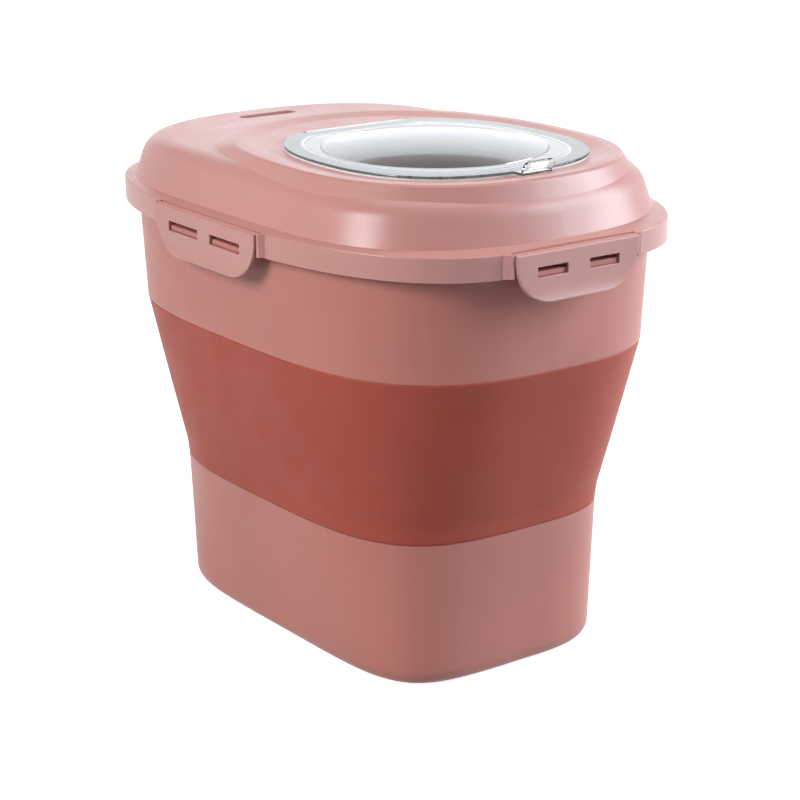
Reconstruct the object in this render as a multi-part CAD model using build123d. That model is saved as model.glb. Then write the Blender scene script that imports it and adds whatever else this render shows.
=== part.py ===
from build123d import *
from collections import namedtuple
from math import acos, copysign, cos, pi, sin
import os

# A folding storage bin for dry pet food. A rigid tub carries a soft band that rolls
# over itself, so the upper frame and its lid sink down around the tub for storage.
# All sizes are millimetres. X runs the long way, with the pour cap's tab at +X.
# Y runs across, Z is up, and the origin is the middle of the resting face.

# A ring is one level outline: two half ovals that share a width line at x = centre.
# The exponents set how square the ends (p) and the long sides (q) are.
Ring = namedtuple("Ring", "z front rear half_width p_front p_rear q centre")
ring_points = 48


def even_ring(z, half_length, half_width, p, q):
    return Ring(z, half_length, half_length, half_width, p, p, q, 0.0)


# Tub, from its foot to the colour line where the soft band starts
foot_ring = even_ring(0.0, 163.7, 104.9, 5.7, 3.9)
tub_rim_ring = even_ring(114.0, 170.3, 117.7, 3.73, 3.41)
tub_wall = 3.0
tub_floor = 4.0
tub_foot_fillet = 14.0
foot_land = 9.0
foot_recess = 1.5

# Soft band: an upright collar, a sloping wall that folds, and an upper collar
lower_kink_ring = even_ring(126.5, 171.4, 119.4, 3.70, 3.40)
upper_kink_ring = even_ring(240.5, 204.4, 143.3, 3.32, 3.02)
band_top_ring = even_ring(245.5, 205.7, 144.6, 3.30, 3.00)
band_wall = 2.4
collar_wall = 1.4
collar_gap = 0.3
tongue_gap = 0.4
lower_tongue = 10.5
upper_tongue = 4.6

# Upper frame: the rigid ring above the band, with a rim that the lid seals on
frame_top_ring = even_ring(335.0, 207.8, 151.0, 3.10, 3.13)
frame_wall = 3.0
frame_flange = 2.6
frame_flange_z = 325.5

# Lid skirt and the ledge at the foot of the dome
skirt_ring = even_ring(323.0, 225.0, 162.0, 2.38, 3.42)
skirt_height = 17.5
skirt_wall = 2.5
skirt_fillet = 1.4
ledge_rise = 2.0
flange_to_skirt = 8.0

# Lid dome: a wall with a large shoulder, and a low shelf at the back
dome_ring = even_ring(skirt_ring.z + skirt_height + ledge_rise, 212.6, 149.6, 4.18, 2.28)
dome_height = 32.5
dome_lean = 10.0
dome_shoulder = 21.0
lid_wall = 2.6
shelf_z = dome_ring.z + dome_height

# Lid plateau: the raised part that holds the pour cap, egg shaped from above
plateau_centre = 65.0
plateau_height = 7.8
plateau_edge_fillet = 3.5
plateau_foot_drop = 16.0
plateau_low_ring = Ring(shelf_z - plateau_foot_drop, 141.0, 230.0, 142.0, 2.6, 2.0, 2.35, plateau_centre)
plateau_mid_ring = Ring(shelf_z, 134.5, 223.0, 133.4, 2.4, 2.0, 2.32, plateau_centre)
plateau_top_ring = Ring(shelf_z + plateau_height, 131.4, 170.0, 129.2, 2.3, 2.5, 2.3, plateau_centre)
dish_rim_ring = Ring(plateau_top_ring.z, 123.0, 165.0, 121.0, 2.3, 2.4, 2.3, plateau_centre)
dish_depth = 2.0
dish_slope_width = 12.0
deck_wall = 2.8
deck_z = plateau_top_ring.z - dish_depth

# Gasket channel under the lid, and the gasket that sits in it
gasket_height = 2.9
gasket_overhang = 1.5
gasket_width = 4.9
gasket_side_gap = 0.4
channel_rib = 1.5
outer_rib_drop = 3.4
inner_rib_drop = 4.9

# Finger recess at the back of the lid, for pulling and carrying the lid
recess_x = -164.0
recess_length = 53.0
recess_width = 12.0
recess_depth = 11.0
recess_wall = 2.4

# Pour cap: flat flange, round window dome, plug wall and lifting tab
cap_centre = 62.0
cap_ring = Ring(0.0, 109.5, 112.0, 104.0, 2.55, 2.25, 2.5, cap_centre)
cap_wall = 1.8
cap_edge_fillet = 0.6
cap_seal_height = 1.4
cap_seal_inset = 0.3
cap_seal_width = 12.0
window_radius = 85.0
window_height = 8.5
opening_inset = 14.0
opening_hinge_inset = 18.5
plug_gap = 0.8
plug_wall = 2.0
plug_depth = 6.0
tab_width = 27.0
tab_reach = 13.5
tab_height = 10.5
tab_corner = 4.0
tab_wall = 2.0
tab_root = 8.0
tab_lean = 5.0
tab_tip_bevel = 0.6
tab_bend = 1.2
tab_rib_radius = 0.7
tab_rib_length = 17.0
tab_rib_shares = (0.38, 0.58, 0.78)

# Pour cap hinge, sunk in a groove of the lid's deck
hinge_x = -43.0
hinge_drop = 1.9
hinge_length = 92.0
hinge_leaf = 4.4
barrel_radius = 2.3
barrel_clearance = 0.5
groove_end_gap = 0.8
groove_back = 6.8
hinge_boss_wall = 2.4
hinge_boss_end = 7.0
hinge_pin_radius = 1.1
running_fit = 0.06
fixed_fit = 0.02
pin_end_gap = 0.3
hinge_boss_sink = 0.2

# Latches: two on the ends, two on the long sides, all hung from the lid's skirt
Side = namedtuple("Side", "name turn half_size length slot_spacing slot_width ear_taper ear_tip")
ear_length = 3.0
ear_cover = 0.8
ear_foot_gap = 0.6
end_latch_length = 111.0
end_slot_spacing = 47.0
end_slot_width = 27.0
side_latch_length = 135.0
side_slot_spacing = 57.0
side_slot_width = 40.0
end_shape = (end_latch_length, end_slot_spacing, end_slot_width, 5.0, -4.8)
side_shape = (side_latch_length, side_slot_spacing, side_slot_width, 2.6, -4.0)
sides = (
    Side("front", 0.0, skirt_ring.front, *end_shape),
    Side("rear", 180.0, skirt_ring.rear, *end_shape),
    Side("left", 90.0, skirt_ring.half_width, *side_shape),
    Side("right", -90.0, skirt_ring.half_width, *side_shape),
)
latch_drop = 36.8
latch_wall = 2.8
latch_inner = -0.2
latch_axis_out = -1.4
latch_top_rise = 1.7
latch_edge_fillet = 0.9
slot_edge_fillet = 0.5
latch_corner = 31.0
latch_barrel_radius = 2.6
latch_pin_radius = 1.2
latch_top_gap = 0.2
latch_end_gap = 0.5
latch_pocket_gap = 0.4
latch_lip_reach = 2.4
latch_lip_height = 12.0
liner_wall = 2.2
liner_top_gap = 1.5
slot_height = 7.2
slot_drop = 14.8
lug_side_gap = 1.0
lug_height = 3.4
lug_drop = 1.4
lug_tip_recess = 1.9
lug_window_gap = 1.2
lug_root = 3.0

skirt_top_z = skirt_ring.z + skirt_height
latch_top_z = skirt_top_z - latch_top_gap
latch_axis_z = latch_top_z - latch_barrel_radius
pocket_back = latch_axis_out - latch_barrel_radius - latch_pocket_gap
slot_z = latch_top_z - slot_drop
lug_z = slot_z - lug_drop
cut_over = 1.0


# Outline helpers


def half_oval(value, power):
    return copysign(abs(value) ** (2 / power), value)


def ring_point(ring, angle):
    across, along = sin(angle), cos(angle)
    reach, power = (ring.front, ring.p_front) if along >= 0 else (ring.rear, ring.p_rear)
    x = ring.centre + reach * half_oval(along, power)
    return (x, ring.half_width * half_oval(across, ring.q), ring.z)


def ring_wire(ring):
    points = [ring_point(ring, 2 * pi * index / ring_points) for index in range(ring_points)]
    return Wire([Edge.make_spline(points, periodic=True)])


def inset(ring, gap, drop=0.0):
    return ring._replace(
        z=ring.z - drop,
        front=ring.front - gap,
        rear=ring.rear - gap,
        half_width=ring.half_width - gap,
    )


def at_height(low, high, z):
    share = (z - low.z) / (high.z - low.z)
    return Ring(*(first + share * (second - first) for first, second in zip(low, high)))


def through(*rings):
    return Part(Solid.make_loft([ring_wire(ring) for ring in rings], ruled=True).wrapped)


def upright(ring, low, high):
    return through(ring._replace(z=low), ring._replace(z=high))


def block(x_low, x_high, y_low, y_high, z_low, z_high):
    size = (x_high - x_low, y_high - y_low, z_high - z_low)
    centre = ((x_low + x_high) / 2, (y_low + y_high) / 2, (z_low + z_high) / 2)
    return Pos(*centre) * Box(*size)


def rod_along_y(x, z, radius, length):
    return Pos(x, 0, z) * Rot(90, 0, 0) * Cylinder(radius, length)


def profile_along_y(points, length):
    face = Plane.XZ * make_face(Polyline(*points, close=True))
    return extrude(face, length / 2, both=True)


def highest_ring_edge(solid):
    return solid.edges().sort_by(Axis.Z)[-1]


def lowest_ring_edge(solid):
    return solid.edges().sort_by(Axis.Z)[0]


def placed(solid, side):
    return Rot(0, 0, side.turn) * Pos(side.half_size, 0, 0) * solid


# Tub and band


def make_base_tub():
    lap = collar_wall + collar_gap
    tongue_ring = at_height(tub_rim_ring, lower_kink_ring, tub_rim_ring.z + lower_tongue)
    outer = through(foot_ring, tub_rim_ring)
    outer = fillet(lowest_ring_edge(outer), tub_foot_fillet)
    outer += through(inset(tub_rim_ring, lap, cut_over), inset(tongue_ring, lap))
    floor_ring = at_height(foot_ring, tub_rim_ring, tub_floor)
    hollow = through(inset(floor_ring, tub_wall), inset(tub_rim_ring, tub_wall))
    hollow = fillet(lowest_ring_edge(hollow), tub_foot_fillet - tub_wall)
    top = tongue_ring._replace(z=tongue_ring.z + cut_over)
    hollow += through(inset(tub_rim_ring, tub_wall), inset(top, tub_wall))
    land = inset(foot_ring, tub_foot_fillet + foot_land)
    return outer - hollow - upright(land, -cut_over, foot_recess)


def make_folding_band():
    outer = through(tub_rim_ring, lower_kink_ring, upper_kink_ring, band_top_ring)
    low_z = tub_rim_ring.z + lower_tongue + tongue_gap
    high_z = band_top_ring.z - upper_tongue - tongue_gap
    low_shelf = at_height(tub_rim_ring, lower_kink_ring, low_z)
    high_shelf = at_height(lower_kink_ring, upper_kink_ring, high_z)
    below = inset(tub_rim_ring, collar_wall, cut_over)
    above = inset(band_top_ring, collar_wall, -cut_over)
    hollow = through(below, inset(low_shelf, collar_wall))
    hollow += through(
        inset(low_shelf, band_wall, cut_over),
        inset(lower_kink_ring, band_wall),
        inset(upper_kink_ring, band_wall),
        inset(band_top_ring, band_wall, -cut_over),
    )
    hollow += through(inset(high_shelf, collar_wall), above)
    return outer - hollow


# Upper frame with its rim flange and the lugs that the latches catch


def make_upper_frame():
    lap = collar_wall + collar_gap
    tongue_z = band_top_ring.z - upper_tongue
    tongue_ring = at_height(upper_kink_ring, band_top_ring, tongue_z)
    outer = through(band_top_ring, frame_top_ring)
    outer += through(inset(tongue_ring, lap), inset(band_top_ring, lap, -cut_over))
    outer += upright(inset(skirt_ring, flange_to_skirt), frame_flange_z, frame_flange_z + frame_flange)
    outer += make_lugs()
    hollow = through(
        inset(tongue_ring, frame_wall, cut_over),
        inset(band_top_ring, frame_wall),
        inset(frame_top_ring, frame_wall, -cut_over),
    )
    return outer - hollow


def lug_places(side):
    return (-side.slot_spacing / 2, side.slot_spacing / 2)


def make_lugs():
    lugs = Part()
    low = lug_z - lug_height / 2
    tip = latch_inner + latch_wall - lug_tip_recess
    for side in sides:
        half = side.slot_width / 2 - lug_side_gap
        for middle in lug_places(side):
            lug = block(-flange_to_skirt - lug_root, tip, middle - half, middle + half, low, low + lug_height)
            lugs += placed(lug, side)
    return lugs


# Lid shell


def dome_solid(gap):
    low_ring = inset(dome_ring, gap)
    body = through(low_ring, inset(dome_ring, dome_lean + gap, gap - dome_height))
    return fillet(highest_ring_edge(body), dome_shoulder - gap)


def plateau_solid():
    body = through(plateau_low_ring, plateau_mid_ring, plateau_top_ring)
    return fillet(highest_ring_edge(body), plateau_edge_fillet)


def plateau_hollow():
    under_deck = at_height(plateau_mid_ring, plateau_top_ring, deck_z)
    rings = (plateau_low_ring, plateau_mid_ring)
    drops = [inset(ring, lid_wall, lid_wall) for ring in rings]
    return through(*drops, inset(under_deck, lid_wall, deck_wall))


def dish_solid():
    floor_ring = inset(dish_rim_ring, dish_slope_width, dish_depth)
    over_ring = inset(dish_rim_ring, -dish_slope_width * cut_over / dish_depth, -cut_over)
    return through(floor_ring, over_ring)


def cap_face(gap, rear_x, z):
    # The cap's oval, cut straight across at rear_x where its hinge runs
    ring = inset(cap_ring, gap)._replace(z=z)
    turn = acos(-(((cap_centre - rear_x) / ring.rear) ** (ring.p_rear / 2)))
    steps = range(-ring_points // 2, ring_points // 2 + 1)
    points = [ring_point(ring, 2 * turn * step / ring_points) for step in steps]
    return make_face([Spline(*points), Line(points[-1], points[0])])


def cap_slab(face, height):
    return extrude(face, height, dir=(0, 0, 1))


def gasket_ring(gap, low, high):
    return upright(inset(frame_top_ring, gap), low, high)


def gasket_channel():
    under = frame_top_ring.z + gasket_height
    outer_face = -(gasket_overhang + gasket_side_gap)
    inner_face = gasket_width - gasket_overhang + gasket_side_gap
    outer = gasket_ring(outer_face - channel_rib, under - outer_rib_drop, under + cut_over)
    outer -= gasket_ring(outer_face, under - outer_rib_drop - cut_over, under + 2 * cut_over)
    inner = gasket_ring(inner_face, under - inner_rib_drop, under + cut_over)
    inner -= gasket_ring(inner_face + channel_rib, under - inner_rib_drop - cut_over, under + 2 * cut_over)
    return outer + inner


def latch_ears(side):
    # A pad at each end of a latch holds the hinge pin, and tapers into the skirt
    face = latch_axis_out + latch_pin_radius + ear_cover
    start = side.length / 2 + latch_end_gap
    end = start + ear_length
    outline = [
        (pocket_back - liner_wall, start),
        (face, start),
        (face, end),
        (side.ear_tip, end + side.ear_taper),
        (pocket_back - liner_wall, end + side.ear_taper),
    ]
    low = skirt_ring.z + ear_foot_gap
    high = latch_axis_z + latch_barrel_radius
    pad = Pos(0, 0, low) * extrude(make_face(Polyline(*outline, close=True)), high - low)
    return pad + mirror(pad, about=Plane.XZ)


def latch_site(side):
    # What the lid gains and loses at one latch: liner and pads, then pocket and windows
    end = side.length / 2 + latch_end_gap
    inner = pocket_back - liner_wall
    liner_end = end + ear_length
    liner_top = skirt_top_z - liner_top_gap
    liner = block(inner, pocket_back, -liner_end, liner_end, skirt_ring.z, liner_top)
    added = placed(liner, side) + placed(latch_ears(side), side)
    pocket_top = skirt_top_z + 2 * ledge_rise
    pocket = block(pocket_back, flange_to_skirt, -end, end, skirt_ring.z - cut_over, pocket_top)
    hole = rod_along_y(latch_axis_out, latch_axis_z, latch_pin_radius + fixed_fit, 2 * (end + ear_length))
    removed = placed(pocket, side) + placed(hole, side)
    half = side.slot_width / 2 - lug_side_gap + lug_window_gap
    top = lug_z + lug_height / 2 + lug_window_gap
    for middle in lug_places(side):
        edges = (middle - half, middle + half, skirt_ring.z - cut_over, top)
        removed += placed(block(inner - cut_over, flange_to_skirt, *edges), side)
    return added, removed


def recess_slot(grow, low, high):
    outline = SlotOverall(recess_length + 2 * grow, recess_width + 2 * grow, rotation=90)
    return Pos(recess_x, 0, low) * extrude(outline, high - low)


def flat_face(solid, z):
    return solid.faces().sort_by(lambda face: abs(face.center().Z - z) + face.bounding_box().size.Z)[0]


def other_faces(solid, *left_out):
    return [face for face in solid.faces() if face not in left_out]


def lid_dome():
    # The outer and inner skins are joined by the base, and by the wall of the opening
    outer = dome_solid(0.0) + plateau_solid() - dish_solid()
    inner = dome_solid(lid_wall) + plateau_hollow()
    outer_base, inner_base = flat_face(outer, dome_ring.z), flat_face(inner, dome_ring.z)
    deck_top, deck_under = flat_face(outer, deck_z), flat_face(inner, deck_z - deck_wall)
    opening = cap_face(opening_inset, hinge_x + opening_hinge_inset, deck_z - deck_wall)
    plug = cap_slab(opening, deck_wall)
    plug_top, plug_low = flat_face(plug, deck_z), flat_face(plug, deck_z - deck_wall)
    skins = [
        Face(outer_base.outer_wire(), [inner_base.outer_wire()]),
        Face(deck_top.outer_wire(), [plug_top.outer_wire()]),
        Face(deck_under.outer_wire(), [plug_low.outer_wire()]),
    ]
    skins += other_faces(outer, outer_base, deck_top)
    skins += other_faces(inner, inner_base, deck_under)
    skins += other_faces(plug, plug_top, plug_low)
    return Part(Solid(Shell(skins)).wrapped)


def lid_skirt():
    skirt_top = skirt_ring._replace(z=skirt_top_z)
    flange_z = frame_top_ring.z + gasket_height
    skirt = through(skirt_ring, skirt_top, dome_ring)
    skirt_edge = skirt.edges().sort_by(lambda edge: abs(edge.center().Z - skirt_top_z))[0]
    skirt = fillet(skirt_edge, skirt_fillet)
    skirt -= upright(inset(skirt_ring, skirt_wall), skirt_ring.z - cut_over, flange_z)
    flange_gap = gasket_width - gasket_overhang + gasket_side_gap + channel_rib
    skirt -= gasket_ring(flange_gap, flange_z - cut_over, skirt_top_z)
    skirt -= upright(inset(dome_ring, lid_wall), skirt_top_z - cut_over / 2, dome_ring.z + cut_over)
    for side in sides:
        added, removed = latch_site(side)
        skirt += added
        skirt -= removed
    return skirt + gasket_channel()


def make_lid_shell():
    dome = lid_dome()
    bottom = shelf_z - recess_depth
    dome += recess_slot(recess_wall, bottom - recess_wall, shelf_z - lid_wall / 2)
    dome -= recess_slot(0.0, bottom, shelf_z + cut_over)
    dome += hinge_boss()
    dome -= hinge_groove()
    return dome + lid_skirt()


def hinge_boss():
    low = deck_z - hinge_drop - barrel_radius - barrel_clearance - hinge_boss_wall
    x_low = hinge_x - groove_back - hinge_boss_wall
    x_high = hinge_x + barrel_radius + barrel_clearance + hinge_boss_wall
    half = hinge_length / 2 + groove_end_gap + hinge_boss_end
    return block(x_low, x_high, -half, half, low, deck_z - hinge_boss_sink)


def hinge_groove():
    low = deck_z - hinge_drop - barrel_radius - barrel_clearance
    half = hinge_length / 2 + groove_end_gap
    x_high = hinge_x + barrel_radius + barrel_clearance
    groove = block(hinge_x - groove_back, x_high, -half, half, low, deck_z + 2 * dish_depth)
    pin_hole = rod_along_y(
        hinge_x, deck_z - hinge_drop, hinge_pin_radius + fixed_fit, 2 * (half + hinge_boss_end + cut_over)
    )
    return groove + pin_hole


def make_lid_seal():
    low, high = frame_top_ring.z, frame_top_ring.z + gasket_height
    inner = gasket_width - gasket_overhang
    return gasket_ring(-gasket_overhang, low, high) - gasket_ring(inner, low - cut_over, high + cut_over)


# Pour cap


def lens(radius, curve, curve_centre_z, low):
    # A round column whose top is rounded off by a large ball
    column = Pos(cap_centre, 0, low + window_radius / 2) * Cylinder(radius, window_radius)
    return column & Pos(cap_centre, 0, curve_centre_z) * Sphere(curve)


def window_dome(flange_low, flange_high):
    curve = (window_radius**2 + window_height**2) / (2 * window_height)
    centre_z = flange_high + window_height - curve
    outer = lens(window_radius, curve, centre_z, flange_low)
    return outer - lens(window_radius - cap_wall, curve - cap_wall, centre_z, flange_low - cut_over)


def lifting_tab(flange_low, flange_high):
    front = cap_centre + cap_ring.front
    root = front - tab_root
    tip = front + tab_reach
    foot = tip - tab_lean
    bend = foot - tab_bend
    top = flange_low + tab_height
    profile = [
        (root, flange_low),
        (foot, flange_low),
        (tip, top - tab_tip_bevel),
        (tip - tab_wall, top),
        (bend, flange_high),
        (root, flange_high),
    ]
    tab = profile_along_y(profile, tab_width)
    ends = [edge for edge in tab.edges() if edge.center().Z > top - 1 and abs(edge.center().Y) > 1]
    tab = fillet(ends, tab_corner)
    ribs = Part()
    for share in tab_rib_shares:
        x = bend + (tip - tab_wall - bend) * share
        z = flange_high + (top - flange_high) * share
        ribs += rod_along_y(x, z, tab_rib_radius, tab_rib_length)
    return tab + ribs


def make_flip_cap():
    flange_low = deck_z + cap_seal_height
    flange_high = flange_low + cap_wall
    window_hole = Pos(cap_centre, 0, flange_low) * Circle(window_radius - cap_wall / 2)
    cap = cap_slab(cap_face(0.0, hinge_x + hinge_leaf, flange_low), cap_wall)
    cap = fillet(cap.edges().group_by(Axis.Z)[-1], cap_edge_fillet)
    cap -= cap_slab(window_hole, cap_wall)
    cap += window_dome(flange_low, flange_high)
    plug_z = flange_low - plug_depth
    plug_rear = hinge_x + opening_hinge_inset + plug_gap
    plug_inset = opening_inset + plug_gap
    plug_face = cap_face(plug_inset, plug_rear, plug_z)
    plug_face -= cap_face(plug_inset + plug_wall, plug_rear + plug_wall, plug_z)
    cap += cap_slab(plug_face, plug_depth + cap_wall / 2)
    cap += lifting_tab(flange_low, flange_high)
    axis_z = deck_z - hinge_drop
    half = hinge_length / 2
    cap += rod_along_y(hinge_x, axis_z, barrel_radius, hinge_length)
    cap += block(hinge_x, hinge_x + barrel_radius, -half, half, axis_z, flange_high)
    cap += block(hinge_x, hinge_x + hinge_leaf + cap_wall, -half, half, flange_low, flange_high)
    cap -= rod_along_y(hinge_x, axis_z, hinge_pin_radius + running_fit, hinge_length + 2 * cut_over)
    return cap


def make_cap_seal():
    rear = hinge_x + hinge_leaf + cap_seal_inset
    inner = cap_seal_inset + cap_seal_width
    face = cap_face(cap_seal_inset, rear, deck_z) - cap_face(inner, rear + cap_seal_width, deck_z)
    return cap_slab(face, cap_seal_height)


def make_cap_hinge_pin():
    length = hinge_length + 2 * (groove_end_gap + hinge_boss_end - pin_end_gap)
    return rod_along_y(hinge_x, deck_z - hinge_drop, hinge_pin_radius, length)


# Latches


def latch_profile(low, high):
    # Side view: a flat plate whose lower edge curves outwards for the fingers
    inner, outer = latch_inner, latch_inner + latch_wall
    bend = low + latch_lip_height
    under = low - cut_over
    reach = latch_lip_reach
    outline = [
        Line((inner, high), (outer, high)),
        Line((outer, high), (outer, bend)),
        TangentArc((outer, bend), (outer + reach, under), tangent=(0, -1)),
        Line((outer + reach, under), (inner + reach, under)),
        TangentArc((inner, bend), (inner + reach, under), tangent=(0, -1)),
        Line((inner, bend), (inner, high)),
    ]
    return Plane.XZ * make_face(outline)


def front_edges(plate):
    face = latch_inner + latch_wall
    return [edge for edge in plate.edges() if edge.bounding_box().min.X > face - fixed_fit]


def slot_edges(plate, side):
    reach = (side.slot_spacing + side.slot_width) / 2 + cut_over
    edges = [edge for edge in front_edges(plate) if abs(edge.center().Z - slot_z) < slot_height]
    return [edge for edge in edges if abs(edge.center().Y) < reach]


def make_latch(side):
    low = latch_top_z - latch_drop
    high = latch_axis_z + latch_top_rise
    front = Plane.YZ * Pos(0, (low + high) / 2) * Rectangle(side.length, high - low)
    shield = extrude(front, 2 * flange_to_skirt, both=True)
    shield = fillet(shield.edges().filter_by(Axis.X).group_by(Axis.Z)[0], latch_corner)
    plate = shield & extrude(latch_profile(low, high), side.length, both=True)
    plate = fillet(front_edges(plate), latch_edge_fillet)
    half = side.slot_width / 2
    low, high = slot_z - slot_height / 2, slot_z + slot_height / 2
    for middle in lug_places(side):
        plate -= block(-flange_to_skirt, flange_to_skirt, middle - half, middle + half, low, high)
    plate = fillet(slot_edges(plate, side), slot_edge_fillet)
    plate += rod_along_y(latch_axis_out, latch_axis_z, latch_barrel_radius, side.length)
    plate -= rod_along_y(latch_axis_out, latch_axis_z, latch_pin_radius + running_fit, 2 * side.length)
    return placed(plate, side)


def make_latch_pin(side):
    length = side.length + 2 * (latch_end_gap + ear_length - pin_end_gap)
    return placed(rod_along_y(latch_axis_out, latch_axis_z, latch_pin_radius, length), side)


# Write every piece to its own file

pieces = {
    "base_tub": make_base_tub(),
    "folding_band": make_folding_band(),
    "upper_frame": make_upper_frame(),
    "lid_shell": make_lid_shell(),
    "lid_seal": make_lid_seal(),
    "flip_cap": make_flip_cap(),
    "cap_seal": make_cap_seal(),
    "cap_hinge_pin": make_cap_hinge_pin(),
}
for side in sides:
    pieces[f"latch_{side.name}"] = make_latch(side)
    pieces[f"latch_pin_{side.name}"] = make_latch_pin(side)

os.makedirs("parts", exist_ok=True)
for name, piece in pieces.items():
    export_step(piece, f"parts/{name}.step")
    print(name, len(piece.solids()), "solid", round(piece.volume / 1000, 1), "cm3")
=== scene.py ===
# %% [markdown]
# # A folding bin for dry pet food
# The bin is a rigid tub, a soft red band that rolls over itself, and a rigid upper
# frame with a latched lid. All the rigid pieces exist as measured solids. They could be
# modelled again in Blender, but then they might not fit, so they come in as they are:
# a fixed frame in metres, with Z up, that everything made here is placed in.

# %% Load the measured solids
import math
import bmesh
import bpy
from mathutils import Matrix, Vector


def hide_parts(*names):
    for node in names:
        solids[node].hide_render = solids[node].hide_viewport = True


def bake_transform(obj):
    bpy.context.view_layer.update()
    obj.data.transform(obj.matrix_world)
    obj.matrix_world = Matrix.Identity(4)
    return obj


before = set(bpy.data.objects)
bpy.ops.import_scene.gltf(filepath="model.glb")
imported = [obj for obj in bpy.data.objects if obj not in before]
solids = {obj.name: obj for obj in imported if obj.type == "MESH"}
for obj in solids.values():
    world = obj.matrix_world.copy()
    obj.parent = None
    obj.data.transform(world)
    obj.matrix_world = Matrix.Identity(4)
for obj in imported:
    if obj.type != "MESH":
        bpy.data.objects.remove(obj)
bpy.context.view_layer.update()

# %% [markdown]
# ## Colours
# The plastics are named by how they look on a screen. Blender mixes light in linear
# values, so each colour is turned from screen values into linear ones once, here.
# Typing linear values by hand would work too, but nobody can picture them.

# %% Turn screen colours into linear ones
def from_screen(red, green, blue):
    shares = [value / 255 for value in (red, green, blue)]
    return tuple(s / 12.92 if s <= 0.04045 else ((s + 0.055) / 1.055) ** 2.4 for s in shares)


dusty_pink = from_screen(187, 119, 109)
lid_pink = from_screen(195, 138, 131)
brick_red = from_screen(166, 76, 62)
milk_white = from_screen(222, 221, 219)
print("dusty pink, linear:", [round(c, 3) for c in dusty_pink])

# %% [markdown]
# ## Moulded plastic
# Injection-moulded plastic has one colour all through, yet its gloss changes a little
# from place to place, and its skin carries a very fine texture from the mould. Pictures
# of plastic could show that, but they blur close up, so noise makes it instead. Three
# helpers come first: one adds a shader node, one spreads a noise between two values,
# and one starts a new finish. A noise seldom leaves its middle part, so only that part
# is spread out.

# %% Helpers for shader nodes
def add(tree, kind, **values):
    node = tree.nodes.new(kind)
    for name, value in values.items():
        node.inputs[name.replace("_", " ")].default_value = value
    return node


noise_floor, noise_top = 0.3, 0.7


def noise_between(tree, scale, detail, low, high):
    noise = add(tree, "ShaderNodeTexNoise", Scale=scale, Detail=detail)
    spread = add(tree, "ShaderNodeMapRange", From_Min=noise_floor, From_Max=noise_top)
    spread.inputs["To Min"].default_value = low
    spread.inputs["To Max"].default_value = high
    coordinates = tree.nodes.new("ShaderNodeTexCoord")
    tree.links.new(coordinates.outputs["Object"], noise.inputs["Vector"])
    tree.links.new(noise.outputs["Fac"], spread.inputs["Value"])
    return spread.outputs["Result"]


def new_finish(name):
    material = bpy.data.materials.new(name)
    material.use_nodes = True
    tree = material.node_tree
    return material, tree, tree.nodes["Principled BSDF"]


print("helpers:", [helper.__name__ for helper in (add, noise_between, new_finish)])

# %% [markdown]
# Three noises of different scale shape one moulded finish. A wide one lets the colour
# drift slightly, a middle one drives the roughness, and the finest is the mould's grain,
# as a faint bump. The shine itself is plain: one refraction for every moulded finish,
# and a reflection that is weaker where the surface looks dull.

# %% A helper that wires one moulded plastic
darkest_share, lightest_share = 0.94, 1.05
drift_scale, gloss_scale = 9.0, 35.0
grain_strength = 0.35
plastic_refraction = 1.5


def moulded(name, colour, gloss, grain_scale, grain_depth, shine=0.5):
    material, tree, shader = new_finish(name)
    drift = noise_between(tree, drift_scale, detail=3.0, low=0.0, high=1.0)
    roughness = noise_between(tree, gloss_scale, detail=4.0, low=gloss[0], high=gloss[1])
    grain = noise_between(tree, grain_scale, detail=2.0, low=0.0, high=1.0)
    mix = tree.nodes.new("ShaderNodeMix")
    mix.data_type = "RGBA"
    mix.inputs["A"].default_value = tuple(c * darkest_share for c in colour) + (1.0,)
    mix.inputs["B"].default_value = tuple(min(1.0, c * lightest_share) for c in colour) + (1.0,)
    tree.links.new(drift, mix.inputs["Factor"])
    tree.links.new(mix.outputs["Result"], shader.inputs["Base Color"])
    tree.links.new(roughness, shader.inputs["Roughness"])
    bump = add(tree, "ShaderNodeBump", Strength=grain_strength, Distance=grain_depth)
    tree.links.new(grain, bump.inputs["Height"])
    tree.links.new(bump.outputs["Normal"], shader.inputs["Normal"])
    shader.inputs["IOR"].default_value = plastic_refraction
    shader.inputs["Specular IOR Level"].default_value = shine
    return material


print("colour drift:", darkest_share, "to", lightest_share)

# %% [markdown]
# The tub and the upper frame have the same satin pink. The lid and its latches come
# from smoother moulds, so they are a little glossier. The band is a soft rubber:
# rougher still, with a coarser grain. The seals are milk-white silicone. One helper
# serves all four, because only the numbers differ.

# %% Make the moulded finishes
body_pink = moulded(
    "pink_satin", dusty_pink, gloss=(0.40, 0.48), grain_scale=1400.0, grain_depth=0.00004, shine=0.35
)
lid_gloss = moulded(
    "pink_gloss", lid_pink, gloss=(0.30, 0.38), grain_scale=1400.0, grain_depth=0.00002
)
band_red = moulded(
    "red_soft_rubber", brick_red, gloss=(0.50, 0.60), grain_scale=900.0, grain_depth=0.00008, shine=0.25
)
seal_white = moulded(
    "white_silicone", milk_white, gloss=(0.38, 0.48), grain_scale=1100.0, grain_depth=0.00003
)
print("moulded finishes:", [m.name for m in (body_pink, lid_gloss, band_red, seal_white)])

# %% [markdown]
# ## Clear cap
# The pour cap is one clear moulding, so light passes through two skins and bends at
# each. A thin see-through coat would be quicker to render, but a physical glass shader
# on the real wall gives the bright rim lines and dark edges by itself. Fine noise in
# the gloss keeps it from looking like crystal. Glass would hold back the lamps' light,
# so for shadow rays it is a plain grey tint instead, and the white seal below stays lit.

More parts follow.
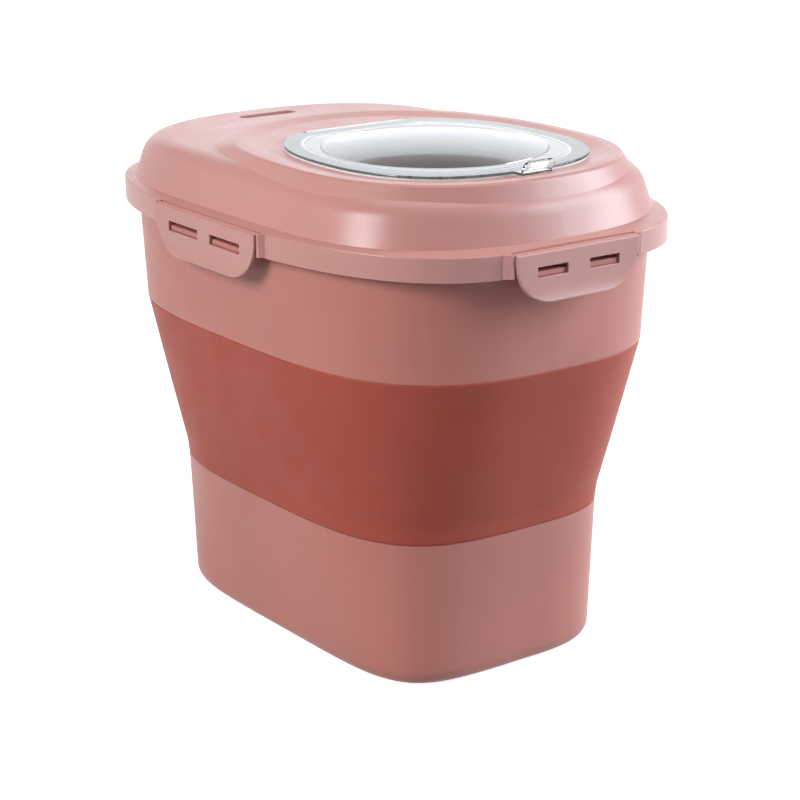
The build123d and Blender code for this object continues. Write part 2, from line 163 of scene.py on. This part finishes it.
# %% Make the clear plastic
clear_tint = (0.96, 0.96, 0.965, 1.0)
shadow_tint = (0.45, 0.45, 0.45, 1.0)
clear_refraction = 1.49
clear, clear_tree, clear_shader = new_finish("clear_plastic")
clear_shader.inputs["Base Color"].default_value = clear_tint
clear_shader.inputs["Transmission Weight"].default_value = 1.0
clear_shader.inputs["IOR"].default_value = clear_refraction
clear_roughness = noise_between(clear_tree, scale=40.0, detail=3.0, low=0.02, high=0.07)
clear_tree.links.new(clear_roughness, clear_shader.inputs["Roughness"])
passing = add(clear_tree, "ShaderNodeBsdfTransparent", Color=shadow_tint)
shadow_rays = clear_tree.nodes.new("ShaderNodeLightPath")
cap_choice = clear_tree.nodes.new("ShaderNodeMixShader")
clear_tree.links.new(shadow_rays.outputs["Is Shadow Ray"], cap_choice.inputs["Fac"])
clear_tree.links.new(clear_shader.outputs[0], cap_choice.inputs[1])
clear_tree.links.new(passing.outputs[0], cap_choice.inputs[2])
clear_out = clear_tree.nodes["Material Output"]
clear_tree.links.new(cap_choice.outputs[0], clear_out.inputs["Surface"])
print("clear plastic's refraction:", clear_refraction)

# %% [markdown]
# ## Hinge pins
# The pins are drawn steel wire. They sit in blind holes and hardly show, so a plain
# metal with a fine noise in its roughness is enough, and no scratches are modelled.

# %% Make the pin steel
steel_grey = (0.56, 0.56, 0.57, 1.0)
steel, steel_tree, steel_shader = new_finish("pin_steel")
steel_shader.inputs["Base Color"].default_value = steel_grey
steel_shader.inputs["Metallic"].default_value = 1.0
steel_roughness = noise_between(steel_tree, scale=600.0, detail=2.0, low=0.22, high=0.4)
steel_tree.links.new(steel_roughness, steel_shader.inputs["Roughness"])
print("pin finish:", steel.name)

# %% [markdown]
# ## Finishes on the measured solids
# The four latches and their pins are alike, so one loop names them all. Each finish
# goes on the object and not on its mesh, which leaves the measured mesh as it came.

# %% Give every measured solid its finish
finishes = {
    "base_tub": body_pink,
    "upper_frame": body_pink,
    "lid_shell": lid_gloss,
    "lid_seal": seal_white,
    "flip_cap": clear,
    "cap_seal": seal_white,
    "cap_hinge_pin": steel,
}
for side in ("front", "rear", "left", "right"):
    finishes[f"latch_{side}"] = lid_gloss
    finishes[f"latch_pin_{side}"] = steel


def finish_solid(name, material):
    for place in solids[name].material_slots:
        place.link = "OBJECT"
        place.material = material


for name, material in finishes.items():
    finish_solid(name, material)
print("finished solids:", len(finishes))

# %% [markdown]
# ## The soft band
# The band is the piece that folds, so it can't be one rigid solid: it has to bend
# between the tub and the upper frame. It could be cut from the measured solid, but
# stacked outlines give even rows, which bend more smoothly. Each outline is a squared
# oval, and the shape runs straight between four of them: the band's foot, a place just
# above the lower collar, the foot of the upper collar, and the band's top.

# %% Outlines of the band, from the bottom up
lower_collar_top = 0.1250
upper_collar_foot = 0.2405
# height, half length, half width, squareness of the ends, squareness of the sides
band_outlines = [
    (0.1140, 0.1703, 0.1177, 3.73, 3.41),
    (0.1265, 0.1714, 0.1194, 3.70, 3.40),
    (upper_collar_foot, 0.2044, 0.1433, 3.32, 3.02),
    (0.2455, 0.2057, 0.1446, 3.30, 3.00),
]
points_around = 240


def outline_at(level):
    for low, high in zip(band_outlines, band_outlines[1:]):
        if level <= high[0]:
            break
    share = (level - low[0]) / (high[0] - low[0])
    return [a + share * (b - a) for a, b in zip(low, high)]


def squared_oval(level, inset):
    level, length, width, end_power, side_power = outline_at(level)
    loop = []
    for step in range(points_around):
        angle = 2 * math.pi * step / points_around
        along, across = math.cos(angle), math.sin(angle)
        x = (length - inset) * math.copysign(abs(along) ** (2 / end_power), along)
        y = (width - inset) * math.copysign(abs(across) ** (2 / side_power), across)
        loop.append(Vector((x, y, level)))
    return loop


print("band from", band_outlines[0][0], "to", band_outlines[-1][0], "m above the floor")

# %% [markdown]
# The band is a closed skin with a real wall. The rows run up the outside and down the
# inside, and the last row joins the first. A Solidify modifier would give a wall too,
# but here the collars, which grip the tub and the frame, are thinner than the rest.

# %% Build the band as a closed skin
band_wall = 0.0024
collar_wall = 0.0014
rows = 58


def band_rows():
    low, high = band_outlines[0][0], band_outlines[-1][0]
    levels = [low + (high - low) * row / rows for row in range(rows + 1)]
    outer = [(level, 0.0) for level in levels]
    inner = []
    for level in reversed(levels):
        in_collar = level < lower_collar_top or level > upper_collar_foot
        inner.append((level, collar_wall if in_collar else band_wall))
    return outer + inner


band_mesh = bmesh.new()
loops = [
    [band_mesh.verts.new(point) for point in squared_oval(level, inset)]
    for level, inset in band_rows()
]
for lower, upper in zip(loops, loops[1:] + loops[:1]):
    for step in range(points_around):
        after = (step + 1) % points_around
        band_mesh.faces.new((lower[step], lower[after], upper[after], upper[step]))
band_mesh.normal_update()
band_data = bpy.data.meshes.new("soft_band")
band_mesh.to_mesh(band_data)
band_mesh.free()
soft_band = bpy.data.objects.new("soft_band", band_data)
bpy.context.scene.collection.objects.link(soft_band)
band_data.materials.append(band_red)
for face in band_data.polygons:
    face.use_smooth = True
print("band faces:", len(band_data.polygons))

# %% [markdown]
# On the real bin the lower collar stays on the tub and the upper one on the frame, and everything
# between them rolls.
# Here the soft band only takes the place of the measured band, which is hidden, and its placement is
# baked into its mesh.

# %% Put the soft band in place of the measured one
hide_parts("folding_band")
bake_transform(soft_band)
print("the band bends over", round(upper_collar_foot - lower_collar_top, 4), "m")

# %% [markdown]
# ## Floor and light
# The bin stands on a pale floor under soft studio light. More light on everything would
# whiten the floor, but it would wash out the plastic too. So the floor and the
# background look white only to the camera, through clear plastic and in gloss, and the
# light that falls on the bin stays plain. A Light Path node tells these rays apart.

# %% White as the camera, glass and gloss see it
plain_white = (1.0, 1.0, 1.0, 1.0)


def seen_directly(tree):
    rays = tree.nodes.new("ShaderNodeLightPath")
    found = rays.outputs["Is Camera Ray"]
    for kind in ("Is Transmission Ray", "Is Glossy Ray"):
        either = tree.nodes.new("ShaderNodeMath")
        either.operation = "MAXIMUM"
        tree.links.new(found, either.inputs[0])
        tree.links.new(rays.outputs[kind], either.inputs[1])
        found = either.outputs[0]
    return found


def choose_by_ray(tree, lit, seen):
    choice = tree.nodes.new("ShaderNodeMixShader")
    tree.links.new(seen_directly(tree), choice.inputs["Fac"])
    tree.links.new(lit.outputs[0], choice.inputs[1])
    tree.links.new(seen.outputs[0], choice.inputs[2])
    return choice


print("rays are told apart in", [helper.__name__ for helper in (seen_directly, choose_by_ray)])

# %% [markdown]
# A floor that only glows would swallow the bin's shadow. This one glows most of the way
# to white, and a plain diffuse surface adds the rest, which the shadow takes away.

# %% Lay a pale floor that keeps the bin's shadow
floor_width = 14.0
grey_that_lights_the_bin = (0.30, 0.30, 0.30, 1.0)
grey_that_shadows_fall_on = (0.60, 0.60, 0.60, 1.0)
glow_strength = 0.86
bpy.ops.mesh.primitive_plane_add(size=floor_width, location=(0, 0, 0))
floor = bpy.context.object
floor.name = "studio_floor"
floor_paint = bpy.data.materials.new("floor_white")
floor_paint.use_nodes = True
paint = floor_paint.node_tree
paint.nodes.clear()
matt = add(paint, "ShaderNodeBsdfDiffuse", Color=grey_that_lights_the_bin)
shaded = add(paint, "ShaderNodeBsdfDiffuse", Color=grey_that_shadows_fall_on)
glow = add(paint, "ShaderNodeEmission", Color=plain_white, Strength=glow_strength)
white_floor = paint.nodes.new("ShaderNodeAddShader")
paint.links.new(shaded.outputs[0], white_floor.inputs[0])
paint.links.new(glow.outputs[0], white_floor.inputs[1])
floor_out = paint.nodes.new("ShaderNodeOutputMaterial")
paint.links.new(choose_by_ray(paint, matt, white_floor).outputs[0], floor_out.inputs["Surface"])
floor.data.materials.append(floor_paint)
print("floor finish:", floor_paint.name)

# %% [markdown]
# The surrounding is white up to about 20 degrees above the horizon. From there to
# about 44 degrees it dims, like a studio's dark ceiling, because the cap lies flat and
# would mirror a white ceiling all over. The light that it gives is a weak, even fill.

# %% Set a plain white surrounding
fill_strength = 0.10
ceiling_strength = 0.15
# heights on a globe round the bin, from 0 at the horizon to 1 at the zenith
white_up_to, dimmest_from = 0.35, 0.7
world = bpy.data.worlds.new("studio")
bpy.context.scene.world = world
world.use_nodes = True
sky = world.node_tree
sky.nodes.clear()
fill_light = add(sky, "ShaderNodeBackground", Color=plain_white, Strength=fill_strength)
white = add(sky, "ShaderNodeBackground", Color=plain_white)
direction = sky.nodes.new("ShaderNodeTexCoord")
height = sky.nodes.new("ShaderNodeSeparateXYZ")
ceiling = add(sky, "ShaderNodeMapRange", From_Min=white_up_to, From_Max=dimmest_from)
ceiling.inputs["To Min"].default_value = 1.0
ceiling.inputs["To Max"].default_value = ceiling_strength
sky.links.new(direction.outputs["Generated"], height.inputs["Vector"])
sky.links.new(height.outputs["Z"], ceiling.inputs["Value"])
sky.links.new(ceiling.outputs["Result"], white.inputs["Strength"])
sky_out = sky.nodes.new("ShaderNodeOutputWorld")
sky.links.new(choose_by_ray(sky, fill_light, white).outputs[0], sky_out.inputs["Surface"])
print("fill light:", fill_strength)

# %% [markdown]
# Large lamps give soft shadow edges, where points or a sun would cut hard ones. One
# lamp lights the long side, at the left of the picture. Another lights the end, at the
# right of it, and is cooler, which sets the two faces apart at the corner. Weak ones
# above and behind lift the lid and its far rim. All of them look at the bin's middle.

# %% Hang the soft lamps
neutral = (1.0, 1.0, 1.0)
cool = (0.80, 0.92, 1.0)
middle_of_bin = Vector((0, 0, 0.2))


def soft_lamp(name, place, size, watts, tint=neutral):
    lamp = bpy.data.lights.new(name, "AREA")
    lamp.shape = "RECTANGLE"
    lamp.size, lamp.size_y = size
    lamp.energy = watts
    lamp.color = tint
    holder = bpy.data.objects.new(name, lamp)
    holder.location = place
    holder.rotation_mode = "QUATERNION"
    holder.rotation_quaternion = (middle_of_bin - Vector(place)).to_track_quat("-Z", "Y")
    bpy.context.scene.collection.objects.link(holder)


soft_lamp("lamp_above", place=(-0.2, 0.2, 2.3), size=(1.8, 1.4), watts=14)
soft_lamp("lamp_left", place=(0.1, -2.35, 1.45), size=(1.0, 1.1), watts=54)
soft_lamp("lamp_right", place=(1.35, 2.1, 1.3), size=(1.8, 2.0), watts=112, tint=cool)
soft_lamp("lamp_behind", place=(-1.9, 1.4, 0.95), size=(2.2, 1.2), watts=6, tint=cool)
print("lamps:", len(bpy.data.lights))

# %% [markdown]
# ## Camera
# The camera stands where the photograph was taken from: about 54 degrees round from
# the long face and 17 degrees above the horizon, 1.8 m away, with a long lens. A short
# lens from nearby would frame the bin as well, but it would spread the near corner.

# %% Place the camera
round_angle, rise_angle = math.radians(53.56), math.radians(17.20)
camera_distance = 1.7987
aim_sideways, aim_height = 0.0110, 0.1713
sensor_width_mm, lens_mm = 36.0, 102.64
towards_camera = Vector((
    math.sin(round_angle) * math.cos(rise_angle),
    -math.cos(round_angle) * math.cos(rise_angle),
    math.sin(rise_angle),
))
sideways = Vector((math.cos(round_angle), math.sin(round_angle), 0))
aim = sideways * aim_sideways + Vector((0, 0, aim_height))
camera_data = bpy.data.cameras.new("camera")
camera_data.sensor_width = sensor_width_mm
camera_data.lens = lens_mm
camera = bpy.data.objects.new("camera", camera_data)
camera.location = aim + towards_camera * camera_distance
camera.rotation_mode = "QUATERNION"
camera.rotation_quaternion = (-towards_camera).to_track_quat("-Z", "Y")
bpy.context.scene.collection.objects.link(camera)
bpy.context.scene.camera = camera
bpy.context.scene.view_settings.view_transform = "Standard"
print("camera at", [round(v, 3) for v in camera.location])

# %% [markdown]
# ## Last step
# The last call brings the scene up to date. The shown bin has to stay within the
# measured one.

# %% Bring the scene up to date
bpy.context.view_layer.update()
